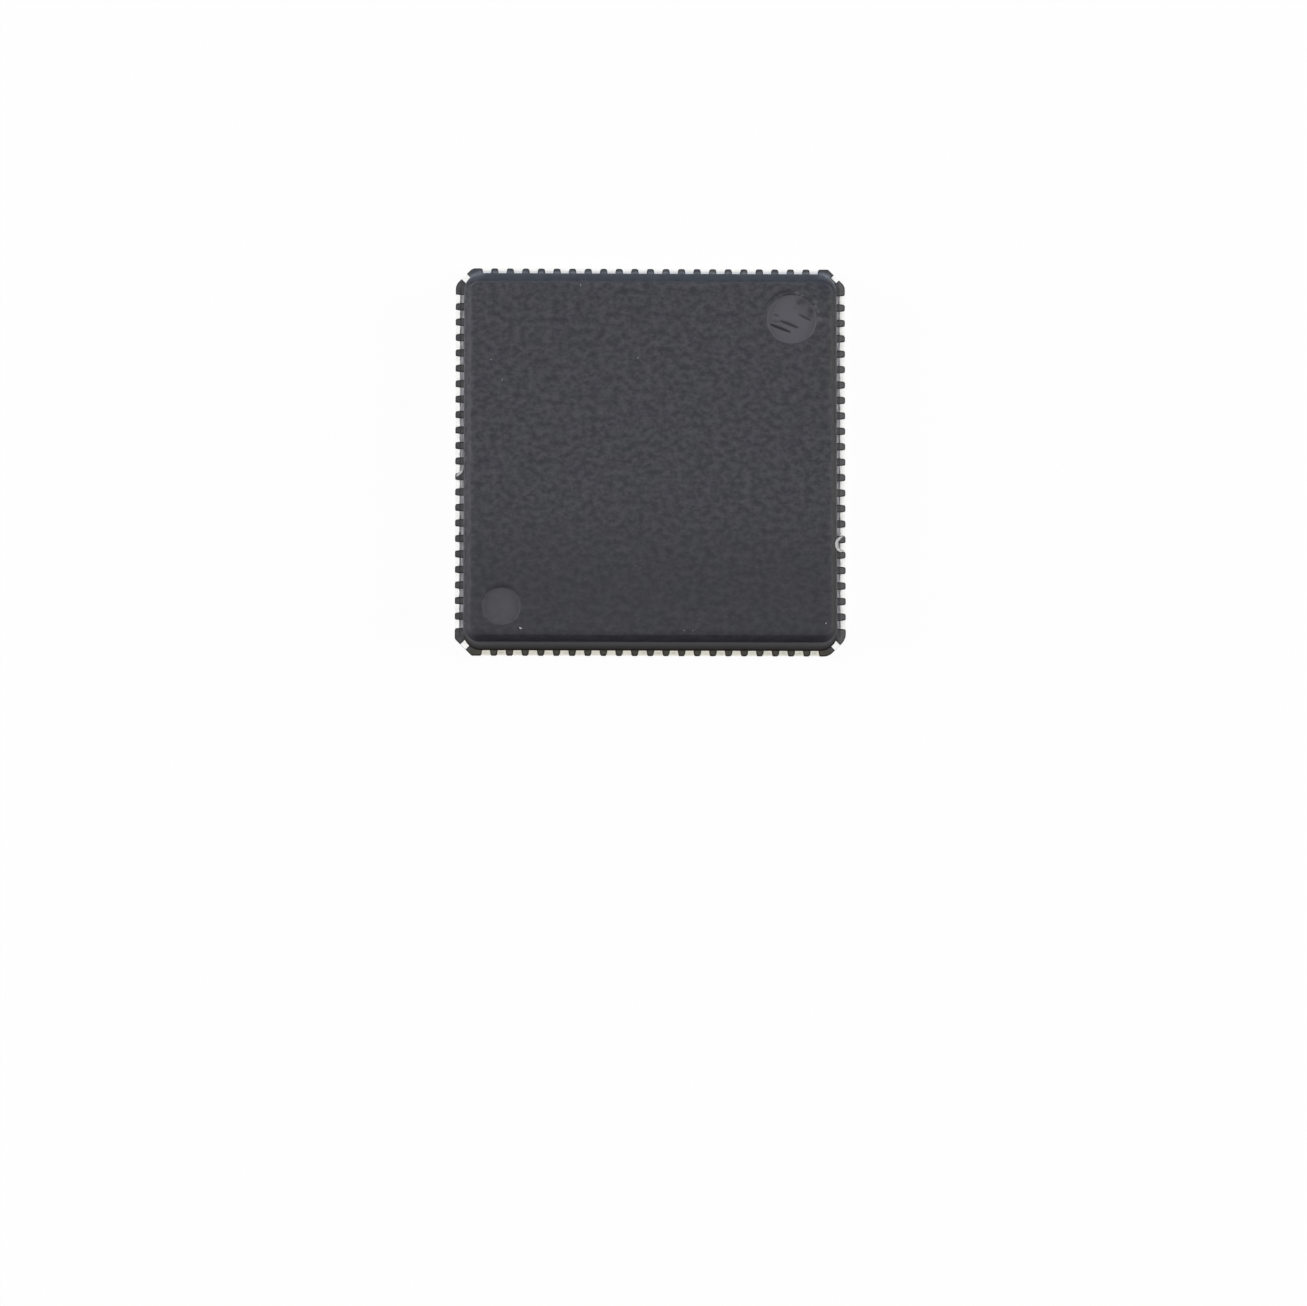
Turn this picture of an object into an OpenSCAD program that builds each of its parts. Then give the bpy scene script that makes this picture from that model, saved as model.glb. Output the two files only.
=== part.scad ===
// Integrated circuit in a square lead-less moulded package, with a bare pad in the middle of its underside.
// Millimetres. +Z is up, and the origin is under the middle of the package, on the plane its leads rest on.
// Side 0 is at -Y, and the sides count anticlockwise from above. Pin one is the first lead of side 0.

/* [Package] */
// Side of the square package, over the ends of the leads
body_size = 10; // [9.8:0.05:12]
// Height of the marked face
body_height = 0.85; // [0.78:0.01:1]
// How far the leads and the bare pad stand below the moulding
standoff = 0.02; // [0.01:0.005:0.05]
// Length cut off each side of the package at a corner
corner_cut = 0.43; // [0.35:0.01:0.5]

/* [Moulded cap] */
// Bare strip of lead between the cap and the edge of the package, on the sides at -X and +X
ledge_x = 0.215; // [0.15:0.005:0.26]
// Bare strip of lead between the cap and the edge of the package, on the sides at -Y and +Y
ledge_y = 0.12; // [0.1:0.005:0.26]
// Height of the cap's sloping foot
foot_height = 0.1; // [0.06:0.01:0.14]
// Distance from the edge of the package to the top of the foot, on the sides at -X and +X
shoulder_inset_x = 0.28; // [0.26:0.01:0.34]
// Distance from the edge of the package to the top of the foot, on the sides at -Y and +Y
shoulder_inset_y = 0.34; // [0.3:0.01:0.4]
// Lean of the wall above the foot, in degrees
wall_draft = 12; // [6:1:16]
// Radius of the foot's corners, where it meets the bare strips
foot_corner_r = 0.46; // [0.36:0.01:0.5]
// Radius of the cap's upright corners, at the top of the foot
cap_corner_r = 0.34; // [0.25:0.01:0.5]
// Width and height of the bevel round the marked face
edge_bevel = 0.03; // [0.01:0.005:0.05]

/* [Recesses in the marked face] */
// Diameter of the recess that marks pin one
pin_mark_d = 1; // [0.5:0.05:1.2]
// Distance from the pin one recess's middle to the package's edges
pin_mark_inset = 1.19; // [1.1:0.01:1.5]
// Diameter of the recess that the ejector pin leaves
ejector_mark_d = 1.3; // [0.8:0.05:1.4]
// Distance from the ejector recess's middle to the package's edges
ejector_mark_inset = 1.39; // [1.3:0.01:1.8]
// Depth of both recesses
mark_depth = 0.05; // [0.02:0.005:0.08]
// How much narrower a recess is at its floor than at its rim
mark_taper = 0.04; // [0.01:0.01:0.1]

/* [Lead frame] */
// Thickness of the sheet that the leads and the paddle are etched from
frame_t = 0.2; // [0.15:0.01:0.25]
// Thickness left where the sheet is etched away from below
half_etch_t = 0.1; // [0.06:0.01:0.12]
// Number of leads on a side
leads_per_side = 22; // [4:1:22]
// Distance between the middles of neighbouring leads
lead_pitch = 0.4; // [0.36:0.005:0.405]
// Width of a lead's foot
lead_w = 0.22; // [0.16:0.01:0.25]
// Length of a lead's foot, from the edge of the package to its round inner end
lead_foot_l = 0.4; // [0.35:0.01:0.5]
// Width of the finger that carries the wire
finger_w = 0.17; // [0.1:0.01:0.2]
// Length of the finger past the foot's inner end
finger_l = 0.33; // [0.2:0.01:0.5]
// Side of the square pad that is bare on the underside
pad_size = 6.8; // [5.6:0.05:7.2]
// Width of the half-etched lip round the bare pad
pad_lip = 0.15; // [0.05:0.01:0.2]
// Width of a tie bar
tie_bar_w = 0.2; // [0.12:0.01:0.22]
// Least gap between a tie bar and the leads beside it
tie_bar_gap = 0.08; // [0.05:0.005:0.09]

/* [Chip] */
// Side of the square silicon chip
chip_size = 4; // [3:0.1:4.6]
// Thickness of the silicon chip
chip_t = 0.25; // [0.15:0.01:0.28]
// Thickness of the adhesive film under the chip
film_t = 0.025; // [0.015:0.005:0.04]
// How far the adhesive film shows round the chip
film_margin = 0.08; // [0.02:0.01:0.12]

/* [Bond wires] */
// Diameter of the gold wire
wire_d = 0.025; // [0.018:0.001:0.03]
// Diameter of the ball that joins a wire to the chip
ball_d = 0.06; // [0.045:0.005:0.07]
// Height of that ball
ball_h = 0.016; // [0.01:0.002:0.02]
// Diameter of the stitch that joins a wire to the lead frame
stitch_d = 0.06; // [0.045:0.005:0.07]
// Diameter of the bead where a wire bends over at the top of its neck
bend_d = 0.032; // [0.031:0.001:0.04]
// Height of that bend above the chip
loop_rise = 0.12; // [0.08:0.01:0.15]
// Distance from the edge of the chip to the row of balls
ball_inset = 0.12; // [0.08:0.01:0.2]
// Distance from the corner of the chip to the first ball in a row
row_inset = 0.21; // [0.2:0.01:0.3]
// Distance from the edge of the package to the stitches on the leads
stitch_inset = 0.45; // [0.43:0.01:0.47]
// Number of ground wires on a side
grounds_per_side = 3; // [1:1:5]
// Distance from the edge of the chip to the stitches of the ground wires
ground_reach = 0.45; // [0.35:0.05:0.6]

/* [Hidden] */
// How far a cutter runs past the face that it opens
overcut = 0.1;
// Thickness of the slices that the cap's hulls are spanned between
slice_t = 0.002;
// Height of a stitch, in diameters of the wire
stitch_diameters = 1.3;
// Sides of the arcs at the cap's corners, of the recesses, of the feet's inner ends and of the wires
corner_fn = 48;
mark_fn = 96;
foot_fn = 32;
wire_fn = 16;

half_body = body_size / 2;
shoulder_z = frame_t + foot_height;
foot_size = [body_size - 2 * ledge_x, body_size - 2 * ledge_y];
shoulder_size = [body_size - 2 * shoulder_inset_x, body_size - 2 * shoulder_inset_y];
wall_top_z = body_height - edge_bevel;
wall_run = (wall_top_z - shoulder_z) * tan(wall_draft);
face_run = wall_run + edge_bevel;
finger_z = frame_t - half_etch_t;
tie_bar_reach = (body_size - corner_cut) / sqrt(2);
film_z = frame_t;
chip_z = film_z + film_t;
chip_top_z = chip_z + chip_t;
bend_z = chip_top_z + loop_rise;
// The span of a wire ends inside its stitch, clear of the metal below
stitch_h = stitch_diameters * wire_d;
span_end_z = frame_t + stitch_h / 2;
row_pitch = (chip_size - 2 * row_inset) / (leads_per_side - 1);
middle_lead = (leads_per_side - 1) / 2;
ball_y = ball_inset - chip_size / 2;
stitch_y = stitch_inset - half_body;
ground_y = -ground_reach - chip_size / 2;

SIDES = [0:3];
BANKS = [1:8];

// A bank is one half of the leads of one side: bank 1 starts at pin one, and the banks follow the pin numbers
function bank_side(bank) = floor((bank - 1) / 2);
function first_half() = ceil(leads_per_side / 2);
function bank_leads(bank) = bank % 2 == 1 ? [0:first_half() - 1] : [first_half():leads_per_side - 1];

module on_side(side) {
    rotate([0, 0, 90 * side]) children();
}

// A rounded rectangle with the outline [size in x, size in y] and its corners, moved in by inset: a thin slice at z
module slice(outline, corner_r, inset, z) {
    radius = corner_r - inset;
    middle = outline / 2 - [corner_r, corner_r];
    translate([0, 0, z])
        linear_extrude(slice_t)
            hull()
                for (x = [-1, 1], y = [-1, 1])
                    translate([x * middle[0], y * middle[1]]) circle(radius, $fn = corner_fn);
}

module cap() {
    // The foot, which slopes out to the bare strips of the leads
    hull() {
        slice(foot_size, foot_corner_r, 0, frame_t);
        slice(shoulder_size, cap_corner_r, 0, shoulder_z - slice_t);
    }
    // The wall above it, and the bevel round the marked face
    hull() {
        slice(shoulder_size, cap_corner_r, 0, shoulder_z - 2 * slice_t);
        slice(shoulder_size, cap_corner_r, wall_run, wall_top_z - slice_t);
        slice(shoulder_size, cap_corner_r, face_run, body_height - slice_t);
    }
}

// The layer that the lead frame lies in: it fills the gaps between the leads out to the package's edge
module flange() {
    straight = half_body - corner_cut;
    translate([0, 0, standoff])
        linear_extrude(frame_t - standoff)
            polygon([
                [straight, -half_body], [half_body, -straight], [half_body, straight], [straight, half_body],
                [-straight, half_body], [-half_body, straight], [-half_body, -straight], [-straight, -half_body]
            ]);
}

// A round recess in the marked face, with its middle the same distance from two edges of the package
module face_mark(diameter, inset, corner) {
    middle = half_body - inset;
    translate([corner * middle, corner * middle, body_height - mark_depth])
        cylinder(h = 2 * mark_depth, d1 = diameter - mark_taper, d2 = diameter + mark_taper, $fn = mark_fn);
}

module mould_body() {
    color("#46474d")
        difference() {
            union() {
                flange();
                cap();
            }
            face_mark(pin_mark_d, pin_mark_inset, -1);
            face_mark(ejector_mark_d, ejector_mark_inset, 1);
            paddle_shape(overcut);
            die_attach_film();
            silicon_die();
            ground_wires();
            for (bank = BANKS) {
                lead_shapes(bank, overcut);
                wire_bank(bank);
            }
        }
}

// The four tie bars, widened by gap at each edge and lengthened by extra past the package's cut corners
module tie_bars(gap, extra) {
    width = tie_bar_w + 2 * gap;
    start = pad_size / 2;
    for (side = SIDES)
        rotate([0, 0, 90 * side + 45])
            translate([start, -width / 2, finger_z])
                cube([tie_bar_reach - start + extra, width, half_etch_t]);
}

module paddle_shape(extra) {
    lip_size = pad_size + 2 * pad_lip;
    translate([-pad_size / 2, -pad_size / 2, 0]) cube([pad_size, pad_size, frame_t]);
    translate([-lip_size / 2, -lip_size / 2, finger_z]) cube([lip_size, lip_size, half_etch_t]);
    tie_bars(0, extra);
}

module die_paddle() {
    color("#e4e3d9") paddle_shape(0);
}

// A lead of side 0, lengthened by extra past the package's edge. The end leads keep clear of the tie bars
module lead(number, extra) {
    foot_end_y = lead_foot_l - half_body;
    arc_y = foot_end_y - lead_w / 2;
    difference() {
        translate([(number - middle_lead) * lead_pitch, 0, 0]) {
            translate([-lead_w / 2, -half_body - extra, 0]) cube([lead_w, half_body + arc_y + extra, frame_t]);
            translate([0, arc_y, 0]) cylinder(h = frame_t, d = lead_w, $fn = foot_fn);
            translate([-finger_w / 2, arc_y, finger_z]) cube([finger_w, lead_w / 2 + finger_l, half_etch_t]);
        }
        if (number == 0 || number == leads_per_side - 1) tie_bars(tie_bar_gap, overcut);
    }
}

module lead_shapes(bank, extra) {
    on_side(bank_side(bank)) for (number = bank_leads(bank)) lead(number, extra);
}

module lead_bank(bank) {
    color("#dcdcd6") lead_shapes(bank, 0);
}

module die_attach_film() {
    film_size = chip_size + 2 * film_margin;
    color("#b9b9b4")
        translate([-film_size / 2, -film_size / 2, film_z]) cube([film_size, film_size, film_t]);
}

module silicon_die() {
    color("#5b6168")
        translate([-chip_size / 2, -chip_size / 2, chip_z]) cube([chip_size, chip_size, chip_t]);
}

// A bond wire from a ball on the chip to a stitch on the lead frame, where both points are [x, y]
module wire(ball, stitch) {
    way = stitch - ball;
    plan_l = norm(way);
    fall = bend_z - span_end_z;
    color("#d9b45a")
        translate([ball[0], ball[1], 0])
            rotate([0, 0, atan2(way[1], way[0])]) {
                translate([0, 0, chip_top_z]) cylinder(h = ball_h, d = ball_d, $fn = wire_fn);
                translate([0, 0, chip_top_z]) cylinder(h = loop_rise, d = wire_d, $fn = wire_fn);
                translate([0, 0, bend_z]) {
                    sphere(d = bend_d, $fn = wire_fn);
                    rotate([0, 90 + atan2(fall, plan_l), 0])
                        cylinder(h = norm([plan_l, fall]), d = wire_d, $fn = wire_fn);
                }
                translate([plan_l, 0, frame_t]) cylinder(h = stitch_h, d = stitch_d, $fn = wire_fn);
            }
}

// Places on side 0 for a wire, where number may lie between two leads: on the chip, on the lead and on the paddle
function ball_at(number) = [(number - middle_lead) * row_pitch, ball_y];
function stitch_at(number) = [(number - middle_lead) * lead_pitch, stitch_y];
function ground_at(number) =
    let (ball = ball_at(number), stitch = stitch_at(number))
    ball + (stitch - ball) * (ground_y - ball_y) / (stitch_y - ball_y);

module wire_bank(bank) {
    on_side(bank_side(bank))
        for (number = bank_leads(bank))
            wire(ball_at(number), stitch_at(number));
}

// Each ground wire starts midway between the balls of two leads and lands on the paddle beside the chip
module ground_wires() {
    for (side = SIDES, ground = [1:grounds_per_side]) {
        number = floor(ground * leads_per_side / (grounds_per_side + 1)) - 0.5;
        on_side(side) wire(ball_at(number), ground_at(number));
    }
}

mould_body();
die_paddle();
die_attach_film();
silicon_die();
ground_wires();
for (bank = BANKS) {
    lead_bank(bank);
    wire_bank(bank);
}
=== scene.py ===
"""Looks of a square lead-less integrated circuit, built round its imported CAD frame.

Sizes are in millimetres in the row frame, and turn into metres when a mesh is made. Side 0 is at -Y, and the
sides count anticlockwise from above. Names that part.scad has too hold the same sizes here.
"""

import math
import random

import bmesh
import bpy
from mathutils import Matrix, Vector, noise
from mathutils.geometry import delaunay_2d_cdt


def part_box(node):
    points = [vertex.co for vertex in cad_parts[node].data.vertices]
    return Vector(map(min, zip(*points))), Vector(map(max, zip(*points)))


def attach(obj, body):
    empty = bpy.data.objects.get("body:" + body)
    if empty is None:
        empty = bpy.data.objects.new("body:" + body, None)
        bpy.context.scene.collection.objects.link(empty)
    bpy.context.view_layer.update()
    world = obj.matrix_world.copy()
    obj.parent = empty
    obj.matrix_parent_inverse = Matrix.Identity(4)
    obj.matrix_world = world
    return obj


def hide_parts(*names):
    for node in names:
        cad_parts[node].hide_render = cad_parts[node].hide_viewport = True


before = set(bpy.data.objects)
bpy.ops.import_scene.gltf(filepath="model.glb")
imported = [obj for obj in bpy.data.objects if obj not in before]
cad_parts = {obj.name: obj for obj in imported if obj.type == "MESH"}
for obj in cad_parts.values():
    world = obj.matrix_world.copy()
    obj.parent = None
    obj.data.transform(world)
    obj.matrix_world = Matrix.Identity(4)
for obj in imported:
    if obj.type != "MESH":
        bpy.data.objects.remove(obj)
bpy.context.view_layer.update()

MM = 0.001
SQRT_2 = math.sqrt(2)

# Sizes that the frame gives
MOULD_LO, MOULD_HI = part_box("mould_body")
HALF_BODY = MOULD_HI.x / MM
FACE_Z = MOULD_HI.z / MM
STANDOFF = MOULD_LO.z / MM
FRAME_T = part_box("die_paddle")[1].z / MM

# Sizes of the package, as in part.scad
CORNER_CUT = 0.43
LEDGE_X = 0.215
LEDGE_Y = 0.12
FOOT_HEIGHT = 0.1
SHOULDER_INSET_X = 0.28
SHOULDER_INSET_Y = 0.34
WALL_DRAFT = math.radians(12)
FOOT_CORNER_R = 0.46
CAP_CORNER_R = 0.34
EDGE_BEVEL = 0.03
HALF_ETCH_T = 0.1
LEADS_PER_SIDE = 22
LEAD_PITCH = 0.4
LEAD_W = 0.22
LEAD_FOOT_L = 0.4
FINGER_W = 0.17
FINGER_L = 0.33
PAD_SIZE = 6.8
PAD_LIP = 0.15
TIE_BAR_W = 0.2
TIE_BAR_GAP = 0.08
MARK_DEPTH = 0.05

# Sizes that follow from them
FINGER_Z = FRAME_T - HALF_ETCH_T
SHOULDER_Z = FRAME_T + FOOT_HEIGHT
WALL_RUN = (FACE_Z - EDGE_BEVEL - SHOULDER_Z) * math.tan(WALL_DRAFT)
FOOT_RUN_X = SHOULDER_INSET_X - LEDGE_X
FOOT_RUN_Y = SHOULDER_INSET_Y - LEDGE_Y
MIDDLE_LEAD = (LEADS_PER_SIDE - 1) / 2
STRAIGHT = HALF_BODY - CORNER_CUT
FOOT_END_Y = LEAD_FOOT_L - HALF_BODY - LEAD_W / 2

# Small forms that only the visual model has. The teeth are the moulding between the leads, and their corners
# are rounder than the bevel and the seam are wide together, or the seam's inner line would cross itself
TOOTH_R = (0.030, 0.046)
FLARE = 0.012
FLARE_L = 0.1
FLANGE_BEVEL = 0.008
SEAM_W = 0.018
NOTCH_DEPTH = 0.5
PAD_EDGE_STEPS = 90
PAD_EDGE_WANDER = 0.012
PAD_EDGE_POWER = 4
LEAD_BEVEL = 0.01
LEAD_CORNER_R = 0.02
CAP_BASE_Z = FRAME_T - 0.004
FOOT_STEP = 0.05
FOOT_STEP_RUN = 0.03
FOOT_STEP_R = 0.02
ROOT_SHARE = 0.35
SHOULDER_FILLET = 0.045
EDGE_FILLET = 0.06
# The marked face's texture: coarse bumps, with finer and lower ones. The gain keeps both within the height,
# and the recesses' floors are smoother by a share
TEXTURE_HEIGHT = 0.0018
TEXTURE_SIZE = 0.13
TEXTURE_FINER = 2.2
TEXTURE_FINE_SHARE = 0.5
TEXTURE_GAIN = 0.6
SMOOTH_FLOOR = 0.8
# How light the tops of the teeth at +Y are, beside those of the others
NORTH_TOOTH = 0.75
# How far the rounding at the two ends of a corner's cut reaches, for the corners after sides 0, 1, 2 and 3
CUT_ROUNDING = ((0.14, 0.14), (0.09, 0.03), (0.08, 0.12), (0.03, 0.03))

# Fineness of the meshes, and the room between the face's grids and the lines beside them in steps of the grid
SIDE_STEPS = 120
CORNER_STEPS = 12
CURVE_STEPS = 5
END_STEPS = 10
TOOTH_STEPS = 4
LEAD_CORNER_STEPS = 3
FACE_STEP = 0.05
FINE_STEP = 0.022
MARK_STEPS = 128
EDGE_ROOM = 0.6
RIM_ROOM = 0.4
FLOOR_ROOM = 0.5
# Edges sharper than this many degrees stay sharp in the shading
MOULD_CREASE = 40
METAL_CREASE = 30
# An inset corner moves at most the depth divided by this, and a rounding takes at most this share of a line
LEAST_SPREAD = 0.5
ROUNDING_SHARE = 0.48
# Triangulation keeps what is inside the edges, and joins points that are this close
INSIDE_ONLY = 1
SAME_PLACE = 1e-7
# Seeds of the random draws
TEETH_SEED = 4
PAD_EDGE_SEED = 11
GRAIN_SEED = 23


def turned(point, side):
    """A point of side 0, turned to another side of the package."""
    x, y = point
    for _ in range(side):
        x, y = -y, x
    return x, y


def make_object(name, vertices, faces, smooth=True):
    """A mesh object from vertices in millimetres."""
    mesh = bpy.data.meshes.new(name)
    mesh.from_pydata([[c * MM for c in v] for v in vertices], [], faces)
    mesh.validate()
    built = bmesh.new()
    built.from_mesh(mesh)
    bmesh.ops.recalc_face_normals(built, faces=built.faces)
    built.to_mesh(mesh)
    built.free()
    mesh.polygons.foreach_set("use_smooth", [smooth] * len(mesh.polygons))
    piece = bpy.data.objects.new(name, mesh)
    bpy.context.scene.collection.objects.link(piece)
    return piece


def sharpen(piece, degrees):
    """Keeps edges sharper than an angle sharp in the shading."""
    limit = math.radians(degrees)
    built = bmesh.new()
    built.from_mesh(piece.data)
    for edge in built.edges:
        edge.smooth = len(edge.link_faces) == 2 and edge.calc_face_angle(0) < limit
    built.to_mesh(piece.data)
    built.free()


def make_piece(name, shell, crease, material, slot, *nodes):
    """A piece with its masks and material, which rides on the body and stands for CAD nodes."""
    piece = make_object(name, shell.vertices, shell.faces)
    for mask, shares in shell.masks.items():
        values = [shares.get(i, 0.0) for i in range(len(piece.data.vertices))]
        piece.data.attributes.new(mask, "FLOAT", "POINT").data.foreach_set("value", values)
    if crease:
        sharpen(piece, crease)
    piece.data.materials.append(material)
    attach(piece, "root")
    if nodes:
        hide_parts(*nodes)


class Shell:
    """Vertices and faces of a mesh that is put together from closed shells."""

    def __init__(self):
        self.vertices = []
        self.faces = []
        self.masks = {}

    def add(self, points):
        start = len(self.vertices)
        self.vertices.extend(points)
        return list(range(start, len(self.vertices)))

    def ring(self, outline, z):
        """Adds the points of an outline at one height."""
        return self.add([(x, y, z) for x, y in outline])

    def paint(self, mask, ids, share=1.0):
        """Sets one of the material's masks on some vertices."""
        self.masks.setdefault(mask, {}).update(dict.fromkeys(ids, share))

    def bands(self, *rings):
        """Four-sided faces from each closed ring to the next, all with the same number of vertices."""
        for low, high in zip(rings, rings[1:]):
            for i, j in closed_edges(0, len(low)):
                self.faces.append((low[i], low[j], high[j], high[i]))

    def stack(self, *rings):
        """A closed form from rings on each other, filled at both ends."""
        self.bands(*rings)
        self.fill(rings[0])
        self.fill(rings[-1])

    def fill(self, outline, hole=()):
        """Triangles inside an outline and outside a hole in it, all at one height."""
        order = [*outline, *hole]
        points = [Vector(self.vertices[i][:2]) for i in order]
        edges = closed_edges(0, len(outline)) + closed_edges(len(outline), len(hole))
        _, triangles, sources = triangulated(points, edges)
        hole_line = points[len(outline):]
        for triangle in triangles:
            corners = [sources[i][0] for i in triangle]
            middle = sum((points[i] for i in corners), Vector((0, 0))) / 3
            if min(corners) < len(outline) or not encloses(hole_line, middle):
                self.faces.append(tuple(order[i] for i in corners))


def closed_edges(start, count):
    """Edges of a closed line whose points are numbered from start."""
    return [(start + i, start + (i + 1) % count) for i in range(count)]


def triangulated(points, edges):
    """Points, triangles between them, and for each point the numbers of those that it comes from."""
    found, _, triangles, sources, _, _ = delaunay_2d_cdt(points, edges, [], INSIDE_ONLY, SAME_PLACE)
    return found, triangles, sources


def encloses(line, point):
    """Whether a closed line goes round a point."""
    inside = False
    for first, second in zip(line, line[1:] + line[:1]):
        if (first.y > point.y) != (second.y > point.y):
            crossing = first.x + (point.y - first.y) * (second.x - first.x) / (second.y - first.y)
            inside ^= point.x < crossing
    return inside


def inset_outline(outline, depth):
    """An anticlockwise outline moved inwards by depth."""
    moved = []
    count = len(outline)
    for i in range(count):
        here = Vector(outline[i])
        before = (here - Vector(outline[i - 1])).normalized()
        after = (Vector(outline[(i + 1) % count]) - here).normalized()
        bisector = Vector((-before.y - after.y, before.x + after.x)).normalized()
        spread = max(bisector.dot(Vector((-before.y, before.x))), LEAST_SPREAD)
        moved.append(tuple(here + bisector * depth / spread))
    return moved


def plate(shell, outline, low_z, high_z, bevel):
    """A closed flat plate with small bevels round both faces."""
    inner = inset_outline(outline, bevel)
    heights = ((inner, low_z), (outline, low_z + bevel), (outline, high_z - bevel), (inner, high_z))
    shell.stack(*(shell.ring(line, z) for line, z in heights))


def arc(centre, radius, start, end, steps):
    """Points on an arc from one angle to another, in degrees."""
    angles = [math.radians(start + (end - start) * i / steps) for i in range(steps + 1)]
    return [(centre[0] + radius * math.cos(a), centre[1] + radius * math.sin(a)) for a in angles]


def bend(before, corner, after, reach):
    """A curve that rounds a corner off, from reach before it to reach after it."""
    corner = Vector(corner)
    start = corner + (Vector(before) - corner).normalized() * reach
    end = corner + (Vector(after) - corner).normalized() * reach
    shares = [i / CURVE_STEPS for i in range(CURVE_STEPS + 1)]
    return [tuple(start.lerp(corner, t).lerp(corner.lerp(end, t), t)) for t in shares]


def lead_centre(number):
    return (number - MIDDLE_LEAD) * LEAD_PITCH


def tooth_corner(x, corner_r, flip):
    """The rounded outer corner of a tooth of side 0, at the slot wall at x."""
    points = arc((x - corner_r, corner_r - HALF_BODY), corner_r, 270, 360, TOOTH_STEPS)
    return [(2 * x - px, py) for px, py in reversed(points)] if flip else points


def flare_point(x, way):
    """Where the foot of a lead of side 0 starts to widen towards its cut end, on its side at -X or +X."""
    return x + way * LEAD_W / 2, FLARE_L - HALF_BODY


def comb_side(side, rng):
    """One side of the flange's outline: teeth of moulding between slots for the leads' feet."""
    points = []
    half = LEAD_W / 2 + FLARE
    for number in range(LEADS_PER_SIDE):
        x = lead_centre(number)
        points += tooth_corner(x - half, rng.uniform(*TOOTH_R), False) + [flare_point(x, -1)]
        points += arc((x, FOOT_END_Y), LEAD_W / 2, 180, 0, END_STEPS)
        points += [flare_point(x, 1)] + tooth_corner(x + half, rng.uniform(*TOOTH_R), True)
    return [turned(p, side) for p in points]


def corner_line(side):
    """The cut corner after a side: outline up to the tie bar, inner end of its notch, and the rest."""
    middle = (STRAIGHT + HALF_BODY) / 2
    along, depth = TIE_BAR_W / 2 / SQRT_2, NOTCH_DEPTH / SQRT_2
    first, second = (middle - along, -middle - along), (middle + along, -middle + along)
    inner = [(x - depth, y + depth) for x, y in (first, second)]
    reach_before, reach_after = CUT_ROUNDING[side]
    before = bend((0, -HALF_BODY), (STRAIGHT, -HALF_BODY), first, reach_before) + [first]
    after = [second] + bend(second, (HALF_BODY, -STRAIGHT), (HALF_BODY, 0), reach_after)
    return [[turned(p, side) for p in line] for line in (before, inner, after)]


def flange_outlines(rng):
    """The flange's outline, the same with notches, their inner ends, and how many points precede a side's."""
    lower, upper, notches = [], [], []
    for side in range(4):
        before, inner, after = corner_line(side)
        run = comb_side(side, rng) + before
        lower += run + after
        upper += run + inner + after
        notches += inner
    return lower, upper, notches, len(run)


def notch_ring(shell, ring, notch_ids, run):
    """Puts the notches' inner ends into a ring of the flange, and closes the notches from below."""
    notched = []
    side_count = len(ring) // 4
    for side in range(4):
        own = ring[side * side_count:(side + 1) * side_count]
        inner = notch_ids[2 * side:2 * side + 2]
        notched += own[:run] + inner + own[run:]
        shell.faces.append((own[run - 1], *inner, own[run]))
    return notched


def flange_shell(shell, rng):
    """The flange: one closed shell whose upper half is notched for the tie bars."""
    lower, upper, notches, run = flange_outlines(rng)
    low_in = shell.ring(inset_outline(lower, FLANGE_BEVEL), STANDOFF)
    low_out = shell.ring(lower, STANDOFF + FLANGE_BEVEL)
    mid_low = shell.ring(lower, FINGER_Z)
    mid_high = notch_ring(shell, mid_low, shell.ring(notches, FINGER_Z), run)
    high_out = shell.ring(upper, FRAME_T - FLANGE_BEVEL)
    high_in = shell.ring(inset_outline(upper, FLANGE_BEVEL), FRAME_T)
    flat = shell.ring(inset_outline(upper, FLANGE_BEVEL + SEAM_W), FRAME_T)
    shell.bands(low_in, low_out, mid_low)
    shell.bands(mid_high, high_out, high_in, flat)
    hole_low, hole_high = (shell.ring(pad_outline(), z) for z in (STANDOFF, FRAME_T))
    shell.bands(hole_high, hole_low)
    shell.fill(low_in, hole_low)
    shell.fill(flat, hole_high)
    # Painted shade in the seam round the teeth
    shell.paint("seam_shade", high_out + high_in)
    for i in flat:
        shell.paint("tooth", [i], NORTH_TOOTH if shell.vertices[i][1] > HALF_BODY - LEDGE_Y else 1)


def pad_outline():
    """The slightly ragged edge of the bare pad. The pad and the hole in the moulding share it."""
    rng = random.Random(PAD_EDGE_SEED)
    half = PAD_SIZE / 2
    points = []
    for side in range(4):
        for step in range(PAD_EDGE_STEPS):
            along = -half + PAD_SIZE * step / PAD_EDGE_STEPS
            wander = 0 if step == 0 else -rng.random() ** PAD_EDGE_POWER * PAD_EDGE_WANDER
            points.append(turned((along, -half - wander), side))
    return points


def rounded_ring(half_x, half_y, radius):
    """A rounded rectangle with the same number of points whatever its size."""
    quarters = ((1, 1), (-1, 1), (-1, -1), (1, -1))
    arcs = []
    for quarter, (sx, sy) in enumerate(quarters):
        centre = (sx * (half_x - radius), sy * (half_y - radius))
        arcs.append(arc(centre, radius, 90 * quarter, 90 * quarter + 90, CORNER_STEPS))
    points = []
    for quarter in range(4):
        points += arcs[quarter]
        start, end = Vector(arcs[quarter][-1]), Vector(arcs[(quarter + 1) % 4][0])
        points += [tuple(start.lerp(end, i / SIDE_STEPS)) for i in range(1, SIDE_STEPS)]
    return points


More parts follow.
